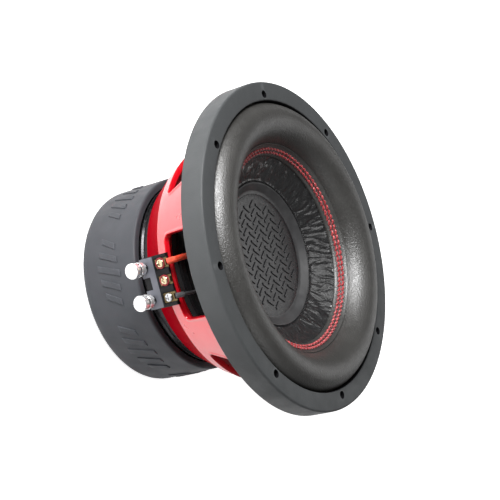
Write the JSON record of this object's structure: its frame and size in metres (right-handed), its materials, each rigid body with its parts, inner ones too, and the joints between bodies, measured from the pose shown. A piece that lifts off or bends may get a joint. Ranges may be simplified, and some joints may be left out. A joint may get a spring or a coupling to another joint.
{
  "type": "car subwoofer speaker",
  "caption": "Round car subwoofer driver with a wide rolled surround, dished dust cap, windowed basket, booted magnet and push terminals.",
  "frame": {"origin": "on the speaker's axis, in the plane of the magnet boot's rear face", "axes": "+Z along the speaker's axis from the magnet to the front; -Y through the middle of the first terminal block; the driver stands on its magnet"},
  "size_m": [0.319, 0.319, 0.202],
  "materials": {
    "trim_rubber": "matt moulded rubber",
    "surround_rubber": "satin with a fine grain",
    "gasket_foam": "matt foam",
    "boot_rubber": "matt moulded rubber",
    "cone_pulp": "coated, with a crumpled texture",
    "cap_coated": "satin black with a raised pattern",
    "red_thread": "twisted thread",
    "red_paint": "glossy red paint over cast metal",
    "black_steel": "gloss black plating",
    "bare_steel": "zinc-plated",
    "ferrite": "ground ceramic magnet",
    "copper": "varnished copper wire",
    "former_black": "black anodised",
    "spider_cloth": "woven and impregnated",
    "black_plastic": "satin moulded plastic",
    "grey_plastic": "satin moulded plastic",
    "chrome": "polished",
    "brass": "plated",
    "red_sleeve": "braided sleeve",
    "grey_sleeve": "braided sleeve"
  },
  "bodies": {
    "frame": {"back_plate": "black_steel", "basket": "red_paint", "basket_bolt_1": "black_steel", "basket_bolt_2": "black_steel", "basket_bolt_3": "black_steel", "basket_bolt_4": "black_steel", "basket_bolt_5": "black_steel", "basket_bolt_6": "black_steel", "flange_gasket": "gasket_foam", "front_magnet": "ferrite", "lower_spider": "spider_cloth", "lug_screw_1_a": "brass", "lug_screw_1_b": "brass", "lug_screw_2_a": "brass", "lug_screw_2_b": "brass", "lug_screw_3_a": "brass", "lug_screw_3_b": "brass", "magnet_boot": "boot_rubber", "pole_piece": "bare_steel", "push_post_1_a": "chrome", "push_post_1_b": "chrome", "push_post_2_a": "chrome", "push_post_2_b": "chrome", "push_spring_1_a": "bare_steel", "push_spring_1_b": "bare_steel", "push_spring_2_a": "bare_steel", "push_spring_2_b": "bare_steel", "rear_magnet": "ferrite", "shorting_ring": "copper", "solder_lug_1_a": "brass", "solder_lug_1_b": "brass", "solder_lug_2_a": "brass", "solder_lug_2_b": "brass", "solder_lug_3_a": "brass", "solder_lug_3_b": "brass", "spider_spacer": "black_plastic", "surround": "surround_rubber", "terminal_base_a": "black_plastic", "terminal_base_b": "black_plastic", "terminal_plate_a": "grey_plastic", "terminal_plate_b": "grey_plastic", "tinsel_lead_negative_a": "grey_sleeve", "tinsel_lead_negative_b": "grey_sleeve", "tinsel_lead_positive_a": "red_sleeve", "tinsel_lead_positive_b": "red_sleeve", "top_plate": "black_steel", "trim_ring": "trim_rubber", "upper_spider": "spider_cloth", "vent_screen": "black_steel"},
    "cone_assembly": {"cone": "cone_pulp", "dust_cap": "cap_coated", "coil_former": "former_black", "inner_winding": "copper", "outer_winding": "copper", "stitch_row_outer": "red_thread", "stitch_row_inner": "red_thread"},
    "push_cap_1_a_body": {"push_cap_1_a": "chrome"},
    "push_cap_1_b_body": {"push_cap_1_b": "chrome"},
    "push_cap_2_a_body": {"push_cap_2_a": "chrome"},
    "push_cap_2_b_body": {"push_cap_2_b": "chrome"}
  },
  "joints": [
    {"name": "cone_travel", "type": "slide", "parent": "frame", "child": "cone_assembly", "axis": [0, 0, 1], "range_m": [-0.018, 0.018], "stiffness_N_per_m": 1200, "deforming": ["surround", "lower_spider", "upper_spider", "tinsel_lead_negative_a", "tinsel_lead_negative_b", "tinsel_lead_positive_a", "tinsel_lead_positive_b"]},
    {"name": "push_1_a", "type": "slide", "parent": "frame", "child": "push_cap_1_a_body", "axis": [0, 1, 0], "range_m": [0, 0.003], "stiffness_N_per_m": 900, "deforming": ["push_spring_1_a"]},
    {"name": "push_1_b", "type": "slide", "parent": "frame", "child": "push_cap_1_b_body", "axis": [0, -1, 0], "range_m": [0, 0.003], "stiffness_N_per_m": 900, "deforming": ["push_spring_1_b"]},
    {"name": "push_2_a", "type": "slide", "parent": "frame", "child": "push_cap_2_a_body", "axis": [0, 1, 0], "range_m": [0, 0.003], "stiffness_N_per_m": 900, "deforming": ["push_spring_2_a"]},
    {"name": "push_2_b", "type": "slide", "parent": "frame", "child": "push_cap_2_b_body", "axis": [0, -1, 0], "range_m": [0, 0.003], "stiffness_N_per_m": 900, "deforming": ["push_spring_2_b"]}
  ]
}
